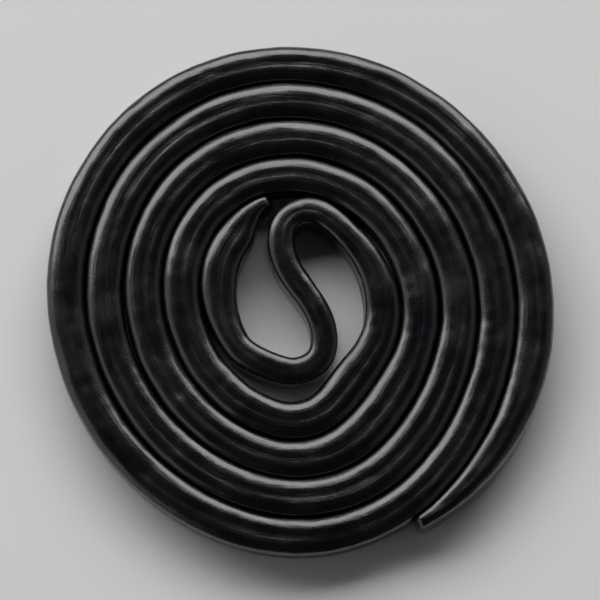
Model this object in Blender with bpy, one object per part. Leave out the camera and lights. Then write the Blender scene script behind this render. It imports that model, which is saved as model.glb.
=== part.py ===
"""A licorice wheel lying on its side: one black rope, folded into an S at the middle and wound up flat.

Blender 4.5, metres, +Z up. The origin is the middle of the underside. Seen from above, with +Y up, the
rope's short inner end starts at the upper left, runs down the left side and round the lower bend of the S,
climbs through the centre, goes over the upper bend and then winds outwards clockwise.
"""

import math

import bpy
import numpy as np

MM = 0.001

# The rope: nearly square, with round shoulders and a shallow groove along the middle of each face
ROPE_HEIGHT = 4.2 * MM
STRAND_WIDTH = 2.35 * MM
GROOVE_DEPTH = 0.20 * MM
SIDE_GROOVE_DEPTH = 0.16 * MM

# A quarter of its outline: across as a share of the half width, up from the face it lies on
FACE_INNER = 0.36
FACE_OUTER = 0.62
SHOULDER = 0.92
SHOULDER_RISE = 0.45 * MM
SIDE_RISE = 0.95 * MM

# The coil: every turn lies one pitch outside the last, with a hair's breadth between them
PITCH = 3.40 * MM
TURN_GAP = 0.20 * MM
TURNS = 4
CORE_RADIUS = 7.50 * MM
OVAL = 0.60 * MM
OVAL_AXIS = math.radians(-61)
DROP = 0.30 * MM

# A turn keeps its distance for most of the way round and climbs onto the next pitch in the lower right.
# All climbs end in one direction. Each seam starts to climb a little sooner than the one inside it, up to
# a quarter turn before the end.
CLIMB_END = math.radians(-102)
CLIMB_SPAN = math.radians(52)
CLIMB_GROWTH = math.radians(14)
CLIMB_MOST = math.radians(90)
COIL_START = math.radians(50)

# The two ends: the inner one is pinched against the S, the outer one is drawn out thin
TAIL_TIP = math.radians(106)
TAIL_END = math.radians(226)
TAIL_TAPER = math.radians(34)
TAIL_TIP_WIDTH = 0.9 * MM
OUTER_TIP_WIDTH = 0.9 * MM
NOSE = 0.6 * MM
NOSE_STEPS = (0.0, 0.12, 0.45)
NOSE_TIP_SCALE = 0.4

# The S: each half from its middle round its bend. The lower half is nearly the upper one, turned half round.
# The rope thins towards it on both sides over this much of the core's arcs.
S_MIDDLE = np.array((0.2, 0.45)) * MM
S_UPPER = np.array(((-0.75, 1.85), (-1.65, 4.25), (-1.25, 6.6), (0.65, 7.6), (2.8, 6.75))) * MM
S_LOWER = np.array(((1.15, -0.95), (2.05, -3.35), (1.65, -5.75), (-0.4, -6.85), (-2.85, -6.3))) * MM
THINNING = math.radians(60)

# Fineness of the solid, and the angle past which an edge is shaded sharp
KNOT_STEP = math.radians(6)
LONGEST_STEP = 3.3 * MM
SHARPEST_BEND = math.radians(19)
FINE_SAMPLES = 6000
SHARP_EDGE = math.radians(50)


def smooth_step(value):
    """0 below 0, 1 above 1, and 3v^2 - 2v^3 between."""
    value = np.clip(value, 0, 1)
    return value * value * (3 - 2 * value)


def even_step(value):
    """0 below 0, 1 above 1, and two parabolas between, which bend no more than they must."""
    value = np.clip(value, 0, 1)
    return np.where(value < 0.5, 2 * value**2, 1 - 2 * (1 - value) ** 2)


def ring_radius(angle, turns):
    """Distance of the rope's middle from the origin: the core's, plus a pitch for each turn.

    The turns are a little oval, and their centre lies a little below that of the S.
    """
    return CORE_RADIUS + PITCH * turns + OVAL * np.cos(2 * (angle - OVAL_AXIS)) - DROP * np.sin(angle)


def on_circle(angle, radius):
    return np.stack((radius * np.cos(angle), radius * np.sin(angle)), axis=1)


def near_s(turned, full):
    """The rope's width this far round the core from the S: the strand's, growing to the full width."""
    return STRAND_WIDTH + (full - STRAND_WIDTH) * smooth_step(turned / THINNING)


def seam_radius(angle, number, to_end):
    """Radius of the seam under the turn of that number, this far before the climb's end.

    It runs half a pitch inside the turn's middle, and is a pitch further out where the climb ends.
    """
    span = np.minimum(CLIMB_SPAN + CLIMB_GROWTH * number, CLIMB_MOST)
    return ring_radius(angle, number - 0.5 + even_step(1 - to_end / span))


def tail_leg():
    """The inner end: an arc up the left side of the core, thinned from its inner side towards the tip."""
    angle = np.arange(TAIL_TIP, TAIL_END, KNOT_STEP)
    to_tip = smooth_step((angle - TAIL_TIP) / TAIL_TAPER)
    width = near_s(TAIL_END - angle, PITCH - TURN_GAP)
    thinned = (width - TAIL_TIP_WIDTH) * (1 - to_tip)
    radius = ring_radius(angle, 0) + thinned / 2
    return on_circle(angle, radius), width - thinned


def s_leg():
    """The S through the middle of the wheel, where the rope is stretched a little thinner."""
    points = np.concatenate((S_LOWER[::-1], (S_MIDDLE,), S_UPPER))
    return points, np.full(len(points), STRAND_WIDTH)


def coil_leg():
    """The turns, clockwise from the upper bend to the outer end, each filling the room between its seams.

    The pitch is measured outwards, so a turn is squeezed where it climbs and runs aslant. The last turn's
    outer edge doesn't climb, so its end fills what the turn below leaves free.
    """
    wound = np.arange(CLIMB_END - COIL_START, 2 * math.pi * TURNS, KNOT_STEP)
    angle = CLIMB_END - wound
    turn = np.floor(wound / (2 * math.pi)) + 1
    to_end = 2 * math.pi * turn - wound
    inner = seam_radius(angle, turn, to_end)
    outer = np.where(turn < TURNS, seam_radius(angle, turn + 1, to_end), ring_radius(angle, TURNS + 0.5))
    middle = (inner + outer) / 2
    slope = np.arctan2(np.gradient(middle, wound), middle)
    width = near_s(COIL_START - angle, (outer - inner) * np.cos(slope) - TURN_GAP)
    kept = width > OUTER_TIP_WIDTH
    return on_circle(angle, middle)[kept], width[kept]


def spline(knots, values, at):
    """Natural cubic spline through the values at the knots, read at the given places."""
    step = np.diff(knots)
    count = len(knots)
    matrix = np.eye(count)
    right = np.zeros((count, values.shape[1]))
    inner = np.arange(1, count - 1)
    matrix[inner, inner - 1] = step[:-1]
    matrix[inner, inner] = 2 * (step[:-1] + step[1:])
    matrix[inner, inner + 1] = step[1:]
    rise = np.diff(values, axis=0) / step[:, None]
    right[1:-1] = 6 * np.diff(rise, axis=0)
    bend = np.linalg.solve(matrix, right)
    piece = np.clip(np.searchsorted(knots, at, side="right") - 1, 0, count - 2)
    length = step[piece][:, None]
    after = (at - knots[piece])[:, None]
    before = length - after
    curve = (bend[piece] * before**3 + bend[piece + 1] * after**3) / (6 * length)
    line = (values[piece] / length - bend[piece] * length / 6) * before
    return curve + line + (values[piece + 1] / length - bend[piece + 1] * length / 6) * after


def rope_path():
    """(points, widths, tangents, scales) at each cross-section, closer together where the rope bends more."""
    legs = (tail_leg(), s_leg(), coil_leg())
    points = np.concatenate([leg[0] for leg in legs])
    width = np.concatenate([leg[1] for leg in legs])
    knots = np.concatenate(((0,), np.cumsum(np.linalg.norm(np.diff(points, axis=0), axis=1))))
    fine = np.linspace(0, knots[-1], FINE_SAMPLES)
    line = spline(knots, points, fine)
    run = np.concatenate(((0,), np.cumsum(np.linalg.norm(np.diff(line, axis=0), axis=1))))
    tangent = np.gradient(line, run, axis=0)
    tangent /= np.linalg.norm(tangent, axis=1)[:, None]
    turning = np.linalg.norm(np.gradient(tangent, run, axis=0), axis=1)
    needed = 1 / LONGEST_STEP + turning[1:] / SHARPEST_BEND
    effort = np.concatenate(((0,), np.cumsum(np.diff(run) * needed)))
    places = np.interp(np.linspace(0, effort[-1], math.ceil(effort[-1])), effort, run)
    body = places[(places > NOSE) & (places < run[-1] - NOSE)]
    nose = NOSE * np.array(NOSE_STEPS)
    places = np.concatenate((nose, (NOSE,), body, (run[-1] - NOSE,), run[-1] - nose[::-1]))
    to_end = np.minimum(places, run[-1] - places)
    scale = NOSE_TIP_SCALE + (1 - NOSE_TIP_SCALE) * np.sqrt(1 - (1 - np.clip(to_end / NOSE, 0, 1)) ** 2)
    across = np.interp(places, run, np.interp(fine, knots, width))

    def read(column):
        return np.interp(places, run, column)

    return (
        np.stack((read(line[:, 0]), read(line[:, 1])), axis=1),
        across,
        np.stack((read(tangent[:, 0]), read(tangent[:, 1])), axis=1),
        scale,
    )


def section():
    """The rope's outline as (across, up) pairs: across as a share of the half width, up in metres.

    Each quarter has a groove's middle, a flat strip, a round shoulder and an upright side.
    """
    half = ROPE_HEIGHT / 2
    quarter = (
        (FACE_INNER, -half),
        (FACE_OUTER, -half),
        (SHOULDER, SHOULDER_RISE - half),
        (1.0, SIDE_RISE - half),
    )
    side = 1 - SIDE_GROOVE_DEPTH / ((PITCH - TURN_GAP) / 2)
    lower = [(-across, up) for across, up in quarter[::-1]] + [(0, GROOVE_DEPTH - half)] + list(quarter)
    upper = [(-across, -up) for across, up in lower]
    return np.array(lower + [(side, 0)] + upper + [(-side, 0)])


def rope_mesh():
    """The section carried along the path, with a flat cap on each end."""
    points, width, tangent, scale = rope_path()
    outline = section()
    left = np.stack((-tangent[:, 1], tangent[:, 0]), axis=1)
    across = -outline[None, :, 0] * (width * scale / 2)[:, None]
    flat = points[:, None, :] + left[:, None, :] * across[:, :, None]
    up = ROPE_HEIGHT / 2 + outline[None, :, 1] * scale[:, None]
    verts = np.concatenate((flat, up[:, :, None]), axis=2)
    corners = verts.reshape(-1, 3)
    corners[:, :2] -= (corners[:, :2].min(axis=0) + corners[:, :2].max(axis=0)) / 2

    rows, columns = up.shape
    index = np.arange(rows * columns).reshape(rows, columns)
    beside = np.roll(index, -1, axis=1)
    sides = np.stack((index[:-1], index[1:], beside[1:], beside[:-1]), axis=2).reshape(-1, 4)
    faces = sides.tolist() + [index[0].tolist(), index[-1][::-1].tolist()]
    mesh = bpy.data.meshes.new("licorice_wheel")
    mesh.from_pydata(corners.tolist(), [], faces)
    mesh.validate()
    mesh.shade_smooth()
    mesh.set_sharp_from_angle(angle=SHARP_EDGE)
    return mesh


def licorice():
    """Black licorice: near black, satin, not metallic."""
    material = bpy.data.materials.new("licorice")
    material.use_nodes = True
    shader = material.node_tree.nodes["Principled BSDF"]
    shader.inputs["Base Color"].default_value = (0.012, 0.011, 0.012, 1)
    shader.inputs["Roughness"].default_value = 0.38
    shader.inputs["Metallic"].default_value = 0
    return material


def main():
    for thing in list(bpy.data.objects):
        bpy.data.objects.remove(thing, do_unlink=True)
    wheel = bpy.data.objects.new("licorice_wheel", rope_mesh())
    wheel.data.materials.append(licorice())
    bpy.context.scene.collection.objects.link(wheel)


main()
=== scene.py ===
"""A black licorice wheel on a pale table: one grooved rope, folded into an S at the middle and wound up flat.

Metres, +Z up. The wheel lies on its side, with the middle of its underside at the origin. Seen from above,
with +Y at the top, the rope starts at the upper left of the middle, runs down the left side and round the
lower bend of the S, climbs through the centre, goes over the upper bend and winds outwards clockwise.
"""

import math

import bpy
import numpy as np
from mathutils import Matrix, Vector


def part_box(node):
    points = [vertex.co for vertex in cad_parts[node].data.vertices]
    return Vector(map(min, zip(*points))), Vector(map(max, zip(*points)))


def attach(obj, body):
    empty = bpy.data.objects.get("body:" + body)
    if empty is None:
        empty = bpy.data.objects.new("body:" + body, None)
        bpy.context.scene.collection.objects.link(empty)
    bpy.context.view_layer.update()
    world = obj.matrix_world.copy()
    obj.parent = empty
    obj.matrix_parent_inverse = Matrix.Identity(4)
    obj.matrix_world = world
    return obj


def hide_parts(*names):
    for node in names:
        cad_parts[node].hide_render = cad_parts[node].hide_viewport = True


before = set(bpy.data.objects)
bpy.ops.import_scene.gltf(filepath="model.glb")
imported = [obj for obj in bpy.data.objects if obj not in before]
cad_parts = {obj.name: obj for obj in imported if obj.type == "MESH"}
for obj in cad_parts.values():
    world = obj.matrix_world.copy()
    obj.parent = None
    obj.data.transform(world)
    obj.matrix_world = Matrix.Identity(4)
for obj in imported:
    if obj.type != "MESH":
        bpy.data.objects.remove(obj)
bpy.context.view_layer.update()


# The camera
# It looks down on the wheel almost square on, from the near side, so that only a thin strip of the near edge
# shows. A long lens from far off keeps the turns even from rim to rim.
VIEW_ELEVATION = math.radians(78)
WHEEL_SHARE = 0.84
LENS_MM = 200

low, high = (np.array(corner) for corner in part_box("licorice_wheel"))
towards_camera = Vector((0, -math.cos(VIEW_ELEVATION), math.sin(VIEW_ELEVATION)))
camera_data = bpy.data.cameras.new("camera")
camera_data.lens = LENS_MM
camera_distance = (high - low)[0] / WHEEL_SHARE * LENS_MM / camera_data.sensor_width
camera = bpy.data.objects.new("camera", camera_data)
camera.location = Vector((low + high) / 2) + towards_camera * camera_distance
camera.rotation_euler = towards_camera.to_track_quat("Z", "Y").to_euler()
bpy.context.scene.collection.objects.link(camera)
bpy.context.scene.camera = camera


# The rope's route
# The rope leaves the press warm and limp. A winder folds its end back into an S and lays the rest round it,
# turn on turn on a flat plate, until the disc is full and the rope is cut.
MM = 0.001
STRAND_WIDTH = 2.35 * MM
PITCH = 3.40 * MM
TURN_GAP = 0.20 * MM
TURNS = 4
CORE_RADIUS = 7.50 * MM
OVAL = 0.60 * MM
OVAL_AXIS = math.radians(-61)
DROP = 0.30 * MM
CLIMB_END = math.radians(-102)
CLIMB_SPAN = math.radians(52)
CLIMB_GROWTH = math.radians(14)
CLIMB_MOST = math.radians(90)
COIL_START = math.radians(50)
TAIL_TIP = math.radians(106)
TAIL_END = math.radians(226)
TAIL_TAPER = math.radians(34)
TAIL_TIP_WIDTH = 0.9 * MM
OUTER_TIP_WIDTH = 0.9 * MM
S_MIDDLE = np.array((0.2, 0.45)) * MM
S_UPPER = np.array(((-0.75, 1.85), (-1.65, 4.25), (-1.25, 6.6), (0.65, 7.6), (2.8, 6.75))) * MM
S_LOWER = np.array(((1.15, -0.95), (2.05, -3.35), (1.65, -5.75), (-0.4, -6.85), (-2.85, -6.3))) * MM
THINNING = math.radians(60)
KNOT_STEP = math.radians(6)
FINE_SAMPLES = 6000


def smooth_step(value):
    """0 below 0, 1 above 1, and 3v^2 - 2v^3 between."""
    value = np.clip(value, 0, 1)
    return value * value * (3 - 2 * value)


def even_step(value):
    """0 below 0, 1 above 1, and two parabolas between, which bend no more than they must."""
    value = np.clip(value, 0, 1)
    return np.where(value < 0.5, 2 * value**2, 1 - 2 * (1 - value) ** 2)


def ring_radius(angle, turns):
    """Distance of the rope's middle from the origin: the core's, plus a pitch for each turn.

    The turns are a little oval, and their centre lies a little below that of the S.
    """
    return CORE_RADIUS + PITCH * turns + OVAL * np.cos(2 * (angle - OVAL_AXIS)) - DROP * np.sin(angle)


def on_circle(angle, radius):
    return np.stack((radius * np.cos(angle), radius * np.sin(angle)), axis=1)


def near_s(turned, full):
    """The rope's width this far round the core from the S: the strand's, growing to the full width."""
    return STRAND_WIDTH + (full - STRAND_WIDTH) * smooth_step(turned / THINNING)


def seam_radius(angle, number, to_end):
    """Radius of the seam under the turn of that number, this far before the climb's end.

    It runs half a pitch inside the turn's middle, and is a pitch further out where the climb ends.
    """
    span = np.minimum(CLIMB_SPAN + CLIMB_GROWTH * number, CLIMB_MOST)
    return ring_radius(angle, number - 0.5 + even_step(1 - to_end / span))


def tail_leg():
    """The inner end: an arc up the left side of the core, thinned from its inner side towards the tip."""
    angle = np.arange(TAIL_TIP, TAIL_END, KNOT_STEP)
    to_tip = smooth_step((angle - TAIL_TIP) / TAIL_TAPER)
    width = near_s(TAIL_END - angle, PITCH - TURN_GAP)
    thinned = (width - TAIL_TIP_WIDTH) * (1 - to_tip)
    return on_circle(angle, ring_radius(angle, 0) + thinned / 2), width - thinned


def s_leg():
    """The S through the middle, each half by listed points from its middle round its bend."""
    points = np.concatenate((S_LOWER[::-1], (S_MIDDLE,), S_UPPER))
    return points, np.full(len(points), STRAND_WIDTH)


def coil_leg():
    """The turns, clockwise from the upper bend to the outer end, each filling the room between its seams.

    The pitch is measured outwards, so a turn is squeezed where it climbs and runs aslant. The last turn's
    outer edge doesn't climb, so its end fills what the turn below leaves free.
    """
    wound = np.arange(CLIMB_END - COIL_START, 2 * math.pi * TURNS, KNOT_STEP)
    angle = CLIMB_END - wound
    turn = np.floor(wound / (2 * math.pi)) + 1
    to_end = 2 * math.pi * turn - wound
    inner = seam_radius(angle, turn, to_end)
    outer = np.where(turn < TURNS, seam_radius(angle, turn + 1, to_end), ring_radius(angle, TURNS + 0.5))
    middle = (inner + outer) / 2
    slope = np.arctan2(np.gradient(middle, wound), middle)
    width = near_s(COIL_START - angle, (outer - inner) * np.cos(slope) - TURN_GAP)
    kept = width > OUTER_TIP_WIDTH
    return on_circle(angle, middle)[kept], width[kept]


def spline(knots, values, at):
    """Natural cubic spline through the values at the knots, read at the given places."""
    step = np.diff(knots)
    count = len(knots)
    matrix = np.eye(count)
    right = np.zeros((count, values.shape[1]))
    inner = np.arange(1, count - 1)
    matrix[inner, inner - 1] = step[:-1]
    matrix[inner, inner] = 2 * (step[:-1] + step[1:])
    matrix[inner, inner + 1] = step[1:]
    rise = np.diff(values, axis=0) / step[:, None]
    right[1:-1] = 6 * np.diff(rise, axis=0)
    bend = np.linalg.solve(matrix, right)
    piece = np.clip(np.searchsorted(knots, at, side="right") - 1, 0, count - 2)
    length = step[piece][:, None]
    after = (at - knots[piece])[:, None]
    before = length - after
    curve = (bend[piece] * before**3 + bend[piece + 1] * after**3) / (6 * length)
    line = (values[piece] / length - bend[piece] * length / 6) * before
    return curve + line + (values[piece + 1] / length - bend[piece + 1] * length / 6) * after


def rope_route():
    """The middle line read finely: distance run, points, tangents, bend to the left per metre, and widths."""
    legs = (tail_leg(), s_leg(), coil_leg())
    points = np.concatenate([leg[0] for leg in legs])
    width = np.concatenate([leg[1] for leg in legs])
    knots = np.concatenate(((0,), np.cumsum(np.linalg.norm(np.diff(points, axis=0), axis=1))))
    fine = np.linspace(0, knots[-1], FINE_SAMPLES)
    line = spline(knots, points, fine)
    run = np.concatenate(((0,), np.cumsum(np.linalg.norm(np.diff(line, axis=0), axis=1))))
    tangent = np.gradient(line, run, axis=0)
    tangent /= np.linalg.norm(tangent, axis=1)[:, None]
    turning = np.gradient(tangent, run, axis=0)
    bend = tangent[:, 0] * turning[:, 1] - tangent[:, 1] * turning[:, 0]
    return run, line, tangent, bend, np.interp(fine, knots, width)


# The rope
# Licorice dough of flour, syrup and molasses is pressed warm through a die with four round lobes, so that the
# rope is nearly square, with a shallow groove along each face. It is a little uneven, as soft dough is.
ROPE_HEIGHT = 4.2 * MM
CORNER_SHARPNESS = 8
CORNER_CROWDING = 0.45
ARCH = 0.25
GROOVE_DEPTH = 0.11 * MM
SIDE_GROOVE_DEPTH = 0.16 * MM
GROOVE_SPREAD = 0.24
PLUMP = 0.06 * MM
NOSE = 0.7 * MM
NOSE_ROWS = 9
NOSE_TIP_SCALE = 0.06
ROWS = 1700
COLUMNS = 56
UNEVEN_SEED = 11

# How far the rope strays from the die's shape, each with the length of rope over which it changes. Lumps and
# pimples also say at how many places round the rope they change.
SWAY = (0.035 * MM, 9 * MM)
SWELL = (0.030 * MM, 14 * MM)
SAG = (0.06 * MM, 11 * MM)
ROLL = (math.radians(2.2), 17 * MM)
GROOVE_CHANGE = (0.30, 7 * MM)
LUMPS = (0.042 * MM, 2.4 * MM, 7)
PIMPLES = (0.017 * MM, 0.8 * MM, 17)

# Dents from handling, with the least and the greatest of each size. A dent ends at BELL_REACH widths.
NICKS = 90
NICK_SIZE = (0.18 * MM, 0.55 * MM)
NICK_DEPTH = (0.02 * MM, 0.075 * MM)
NICK_STRETCH = (1, 2.5)
BELL_REACH = 3

# Fine wrinkles across the inner side of a tight bend. They start where the bend shortens the dough by a fifth
# and are full at three fifths. The shift, in radians, puts them out of step round the rope.
WRINKLE_DEPTH = 0.03 * MM
WRINKLE_STEP = 0.62 * MM
WRINKLE_FROM = 0.2
WRINKLE_GROWTH = 0.4
WRINKLE_SHIFT = (2, 1.1 * MM, 9)


def soft_noise(along, around, step, lobes, seed):
    """Smooth random values from -1 to 1.

    Random numbers stand a step apart along the rope and at so many lobes round it, and are blended by
    smooth_step between the four nearest. `around` is a share of the whole way round.
    """
    rows = int(np.max(along) / step) + 3
    values = np.random.default_rng(seed).uniform(-1, 1, (rows, lobes))
    down, over = along / step, around * lobes
    row = np.floor(down).astype(int)
    lobe = np.floor(over).astype(int)
    into_row, into_lobe = smooth_step(down - row), smooth_step(over - lobe)
    first = values[row, lobe % lobes] * (1 - into_lobe) + values[row, (lobe + 1) % lobes] * into_lobe
    second = values[row + 1, lobe % lobes] * (1 - into_lobe) + values[row + 1, (lobe + 1) % lobes] * into_lobe
    return first * (1 - into_row) + second * into_row


def bell(value):
    """1 at 0, falling off to both sides as exp(-v^2)."""
    return np.exp(-value * value)


def nicks(along, around, girth):
    """Dents: bell-shaped hollows of random size at random places on the skin, drawn out along the rope."""
    random = np.random.default_rng(UNEVEN_SEED + 7)
    depth = np.zeros(np.broadcast(along, around).shape)
    for _ in range(NICKS):
        place = random.uniform(0, np.max(along))
        share = random.uniform(0, 1)
        size = random.uniform(*NICK_SIZE)
        deep = random.uniform(*NICK_DEPTH)
        stretch = random.uniform(*NICK_STRETCH)
        rows = np.abs(along[:, 0] - place) < BELL_REACH * size * stretch
        side = (around - share + 0.5) % 1 - 0.5
        depth[rows] += deep * bell((along[rows] - place) / (size * stretch)) * bell(side * girth[rows] / size)
    return depth


def rope_skin():
    """The rope's skin on a grid, rows along the rope and columns round it, as it lies and as it was straight.

    The section is |x/a|^n + |z/b|^n = 1, read in polar form with the angles crowded towards the corners: x
    outwards and z up from the middle line, a half the width and b half the height. The upper and lower
    faces fall by ARCH times x^2/a towards the shoulders, and a bell-shaped groove is taken off each face,
    shallower by the cube of the width where the rope is stretched thin. The rope is PLUMP wider on each
    side than the gaps leave it, so that the turns all but touch. Then the skin is moved out or in by the
    unevenness, rolled a little and set down on the table.
    """
    run, line, tangent, bend, width = rope_route()
    length = run[-1]
    quarter = np.linspace(0, math.pi / 2, NOSE_ROWS)
    body = np.linspace(NOSE, length - NOSE, ROWS - 2 * NOSE_ROWS + 2)[1:-1]
    nose = NOSE * (1 - np.cos(quarter))
    places = np.concatenate((nose, body, length - nose[::-1]))
    tip = np.minimum(places, length - places) / NOSE
    scale = np.where(tip < 1, np.sqrt(np.clip(1 - (1 - tip) ** 2, 0, 1)), 1)
    scale = (NOSE_TIP_SCALE + (1 - NOSE_TIP_SCALE) * scale)[:, None]

    def read(column):
        """The route's value at each row."""
        return np.interp(places, run, column)[:, None]

    def drift(change, number):
        """A smooth random change from row to row. Each number gives another one."""
        amount, step = change
        return amount * soft_noise(places[:, None], np.zeros((1, 1)), step, 1, UNEVEN_SEED + number)

    share = np.arange(COLUMNS)[None, :] / COLUMNS
    along = places[:, None]
    down, over = np.broadcast_arrays(along, share)
    angle = 2 * math.pi * share
    angle = angle + CORNER_CROWDING / 4 * np.sin(4 * angle)
    half_width = read(width) / 2 + PLUMP + drift(SWELL, 1)
    half_height = ROPE_HEIGHT / 2 - np.abs(drift(SAG, 2))
    polar = np.abs(np.cos(angle)) ** CORNER_SHARPNESS + np.abs(np.sin(angle)) ** CORNER_SHARPNESS
    polar = polar ** (-1 / CORNER_SHARPNESS)
    across = half_width * polar * np.cos(angle)
    arch = ARCH * across**2 / half_width
    up = (half_height - arch) * polar * np.sin(angle)
    stretched = read(width) / (PITCH - TURN_GAP)
    groove = (1 + drift(GROOVE_CHANGE, 3)) * stretched**3
    top_groove = GROOVE_DEPTH * groove * bell(across / (half_width * GROOVE_SPREAD))
    side_groove = SIDE_GROOVE_DEPTH * groove * bell(up / (half_height * GROOVE_SPREAD))
    across, up = across - np.sign(across) * side_groove, up - np.sign(up) * top_groove

    lumps = LUMPS[0] * soft_noise(down, over, LUMPS[1], LUMPS[2], UNEVEN_SEED + 4)
    pimples = PIMPLES[0] * soft_noise(down, over, PIMPLES[1], PIMPLES[2], UNEVEN_SEED + 5)
    girth = 4 * (half_width + half_height)
    squeezed = smooth_step((read(bend) * across - WRINKLE_FROM) / WRINKLE_GROWTH)
    shift = WRINKLE_SHIFT[0] * soft_noise(down, over, WRINKLE_SHIFT[1], WRINKLE_SHIFT[2], UNEVEN_SEED + 6)
    wrinkles = WRINKLE_DEPTH * squeezed * (0.5 + 0.5 * np.cos(2 * math.pi * along / WRINKLE_STEP + shift))
    out = lumps + pimples - nicks(along, share, girth) - wrinkles
    across, up = across + out * np.cos(angle), up + out * np.sin(angle)
    across, up = across * scale, up * scale
    straight = np.stack((down, across, up), axis=2)

    roll = drift(ROLL, 8)
    rolled = across * np.cos(roll) - up * np.sin(roll)
    lifted = across * np.sin(roll) + up * np.cos(roll) + half_height
    sway = drift(SWAY, 9)
    left = np.stack((-read(tangent[:, 1]), read(tangent[:, 0])), axis=2)
    middle = np.stack((read(line[:, 0]), read(line[:, 1])), axis=2)
    flat = middle + left * (rolled + sway)[:, :, None]
    return np.concatenate((flat, np.maximum(lifted, 0)[:, :, None]), axis=2), straight


def closed_tube(name, points, straight):
    """A mesh of the grid's quads, joined round and closed by a small face at each end, shaded smooth."""
    rows, columns = points.shape[:2]
    index = np.arange(rows * columns).reshape(rows, columns)
    beside = np.roll(index, -1, axis=1)
    quads = np.stack((index[:-1], beside[:-1], beside[1:], index[1:]), axis=2).reshape(-1, 4)
    mesh = bpy.data.meshes.new(name)
    ends = [index[0][::-1].tolist(), index[-1].tolist()]
    mesh.from_pydata(points.reshape(-1, 3).tolist(), [], quads.tolist() + ends)
    mesh.shade_smooth()
    attribute = mesh.attributes.new("straight", "FLOAT_VECTOR", "POINT")
    attribute.data.foreach_set("vector", straight.astype(np.float32).ravel())
    mesh.update()
    return mesh


def licorice():
    """Black licorice: near black with faint violet and olive patches, and a satin, slightly waxy skin.

    The grain from the die runs along the rope, so it reads the straight rope's coordinates. The patches of
    tint and of gloss, and the fine tooth of the dough, read the wheel's own place in metres.
    """
    material = bpy.data.materials.new("licorice")
    material.use_nodes = True
    nodes, links = material.node_tree.nodes, material.node_tree.links
    shader = nodes["Principled BSDF"]
    place = nodes.new("ShaderNodeTexCoord").outputs["Object"]
    straight = nodes.new("ShaderNodeAttribute")
    straight.attribute_name = "straight"

    def noise(source, stretch, scale, detail, roughness=0.5):
        """Noise with `scale` waves to a metre, drawn out along the first axis by the given factor."""
        mapping = nodes.new("ShaderNodeMapping")
        mapping.inputs["Scale"].default_value = (scale / stretch, scale, scale)
        texture = nodes.new("ShaderNodeTexNoise")
        texture.inputs["Scale"].default_value = 1
        texture.inputs["Detail"].default_value = detail
        texture.inputs["Roughness"].default_value = roughness
        links.new(source, mapping.inputs["Vector"])
        links.new(mapping.outputs["Vector"], texture.inputs["Vector"])
        return texture

    def spread(value, low, high, to_low, to_high):
        """The value's range from low to high, carried onto another range and held at its ends."""
        ramp = nodes.new("ShaderNodeMapRange")
        for socket, number in zip(ramp.inputs[1:5], (low, high, to_low, to_high)):
            socket.default_value = number
        links.new(value, ramp.inputs[0])
        return ramp.outputs[0]

    def blend(kind, factor, first, second):
        """Two colours mixed in the given way. Each of the three is a value or a socket."""
        mix = nodes.new("ShaderNodeMix")
        mix.data_type = "RGBA"
        mix.blend_type = kind
        for socket, value in ((mix.inputs[0], factor), (mix.inputs[6], first), (mix.inputs[7], second)):
            if isinstance(value, bpy.types.NodeSocket):
                links.new(value, socket)
            else:
                socket.default_value = value
        return mix.outputs[2]

    def relief(height, distance, under=None):
        """A Bump node of that depth in metres, on top of another's normal."""
        bump = nodes.new("ShaderNodeBump")
        bump.inputs["Strength"].default_value = 1
        bump.inputs["Distance"].default_value = distance
        links.new(height, bump.inputs["Height"])
        if under is not None:
            links.new(under, bump.inputs["Normal"])
        return bump.outputs["Normal"]

    tint = noise(place, 1, 210, 2)
    patches = noise(place, 1, 330, 4, 0.6)
    grain = noise(straight.outputs["Vector"], 26, 3600, 3, 0.6)
    streaks = noise(straight.outputs["Vector"], 9, 1500, 3)
    tooth = noise(place, 1, 5200, 3, 0.65)

    violet_black, olive_black = (0.0022, 0.0018, 0.0034, 1), (0.0036, 0.0034, 0.0022, 1)
    ground = blend("MIX", spread(patches.outputs["Fac"], 0.38, 0.62, 0, 1), violet_black, olive_black)
    tint_share = 0.45
    links.new(blend("OVERLAY", tint_share, ground, tint.outputs["Color"]), shader.inputs["Base Color"])

    gloss_of_patches, gloss_of_streaks = (0.19, 0.29), (-0.04, 0.06)
    uneven = nodes.new("ShaderNodeMath")
    uneven.operation = "ADD"
    links.new(spread(patches.outputs["Fac"], 0.3, 0.7, *gloss_of_patches), uneven.inputs[0])
    links.new(spread(streaks.outputs["Fac"], 0.3, 0.7, *gloss_of_streaks), uneven.inputs[1])
    links.new(uneven.outputs[0], shader.inputs["Roughness"])

    tooth_depth, streak_depth, grain_depth = 0.022 * MM, 0.044 * MM, 0.030 * MM
    toothed = relief(tooth.outputs["Fac"], tooth_depth)
    streaked = relief(streaks.outputs["Fac"], streak_depth, toothed)
    links.new(relief(grain.outputs["Fac"], grain_depth, streaked), shader.inputs["Normal"])
    shader.inputs["IOR"].default_value = 1.55
    shader.inputs["Coat Weight"].default_value = 0.6
    shader.inputs["Coat Roughness"].default_value = 0.17
    return material


skin, straight_skin = rope_skin()
flat_low, flat_high = skin[:, :, :2].min(axis=(0, 1)), skin[:, :, :2].max(axis=(0, 1))
skin[:, :, :2] += (low + high)[:2] / 2 - (flat_low + flat_high) / 2
rope = bpy.data.objects.new("licorice_rope", closed_tube("licorice_rope", skin, straight_skin))
rope.data.materials.append(licorice())
bpy.context.scene.collection.objects.link(rope)
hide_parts("licorice_wheel")
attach(rope, "root")


# The table
# A plain pale sheet of card that the wheel lies on, wide enough to fill the view from any side. Its pulp is
# very faintly mottled, with fibres a little over a tenth of a millimetre wide.
TABLE_HALF = 1.5
CARD_WARMTH = 0.994

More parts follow.
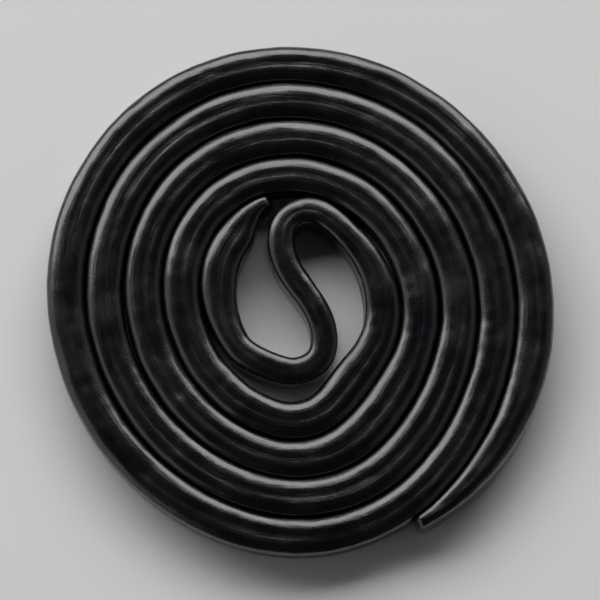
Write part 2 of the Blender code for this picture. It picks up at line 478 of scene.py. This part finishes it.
table_mesh = bpy.data.meshes.new("table")
corners = [(x * TABLE_HALF, y * TABLE_HALF, 0) for x, y in ((-1, -1), (1, -1), (1, 1), (-1, 1))]
table_mesh.from_pydata(corners, [], [(0, 1, 2, 3)])
table = bpy.data.objects.new("table", table_mesh)


def pale_card():
    """Matt off-white card: a faint mottle of centimetres, with fine fibres over it."""
    material = bpy.data.materials.new("card")
    material.use_nodes = True
    nodes, links = material.node_tree.nodes, material.node_tree.links
    shader = nodes["Principled BSDF"]
    shader.inputs["Roughness"].default_value = 0.9
    place = nodes.new("ShaderNodeTexCoord").outputs["Object"]

    def whites(scale, dark, light):
        """Two close greys, mixed by noise with that many waves to a metre."""
        texture = nodes.new("ShaderNodeTexNoise")
        texture.inputs["Scale"].default_value = scale
        mix = nodes.new("ShaderNodeMix")
        mix.data_type = "RGBA"
        mix.inputs[6].default_value = (dark, dark, dark * CARD_WARMTH, 1)
        mix.inputs[7].default_value = (light, light, light * CARD_WARMTH, 1)
        links.new(place, texture.inputs["Vector"])
        links.new(texture.outputs["Fac"], mix.inputs[0])
        return mix.outputs[2]

    both = nodes.new("ShaderNodeMix")
    both.data_type = "RGBA"
    both.blend_type = "MULTIPLY"
    both.inputs[0].default_value = 1
    links.new(whites(45, 0.79, 0.81), both.inputs[6])
    links.new(whites(6500, 0.93, 1), both.inputs[7])
    links.new(both.outputs[2], shader.inputs["Base Color"])
    return material


table_mesh.materials.append(pale_card())
bpy.context.scene.collection.objects.link(table)


# The light
# A long soft box hangs behind the wheel and a little to the left, so that each shoulder of the rope that
# faces away from the lens catches it. A white board at each side picks out the other shoulders a little, and
# the studio's walls fill the rest under a dark ceiling.

# Azimuth and elevation in degrees, length and height in metres, power in watts
LIGHTS = (
    ("soft_box", 102, 41, 2.0, 0.60, 15.7),
    ("left_board", 190, 25, 1.4, 0.80, 2.0),
    ("right_board", 358, 25, 1.4, 0.80, 0.6),
)
LIGHT_DISTANCE = 1.0

for name, azimuth, elevation, length, height, power in LIGHTS:
    azimuth, elevation = math.radians(azimuth), math.radians(elevation)
    level = math.cos(elevation)
    towards_light = Vector((math.cos(azimuth) * level, math.sin(azimuth) * level, math.sin(elevation)))
    light_data = bpy.data.lights.new(name, "AREA")
    light_data.shape = "RECTANGLE"
    light_data.size, light_data.size_y = length, height
    light_data.energy = power
    light = bpy.data.objects.new(name, light_data)
    light.location = towards_light * LIGHT_DISTANCE
    light.rotation_euler = towards_light.to_track_quat("Z", "Y").to_euler()
    bpy.context.scene.collection.objects.link(light)

# The studio glows: its walls up to WALL_TOP and its ceiling from CEILING_EDGE, each the sine of an elevation.
WALL_TOP, CEILING_EDGE = 0.15, 0.85
WALL_GLOW, CEILING_GLOW = 0.035, 0.01

world = bpy.data.worlds.new("studio")
world.use_nodes = True
bpy.context.scene.world = world
world_nodes, world_links = world.node_tree.nodes, world.node_tree.links
direction = world_nodes.new("ShaderNodeTexCoord")
parts = world_nodes.new("ShaderNodeSeparateXYZ")
walls = world_nodes.new("ShaderNodeMapRange")
walls.inputs["From Min"].default_value = WALL_TOP
walls.inputs["From Max"].default_value = CEILING_EDGE
walls.inputs["To Min"].default_value = WALL_GLOW
walls.inputs["To Max"].default_value = CEILING_GLOW
world_links.new(direction.outputs["Generated"], parts.inputs["Vector"])
world_links.new(parts.outputs["Z"], walls.inputs["Value"])
world_links.new(walls.outputs["Result"], world_nodes["Background"].inputs["Strength"])
world_nodes["Background"].inputs["Color"].default_value = (1, 1, 1, 1)
bpy.context.scene.view_settings.view_transform = "Standard"
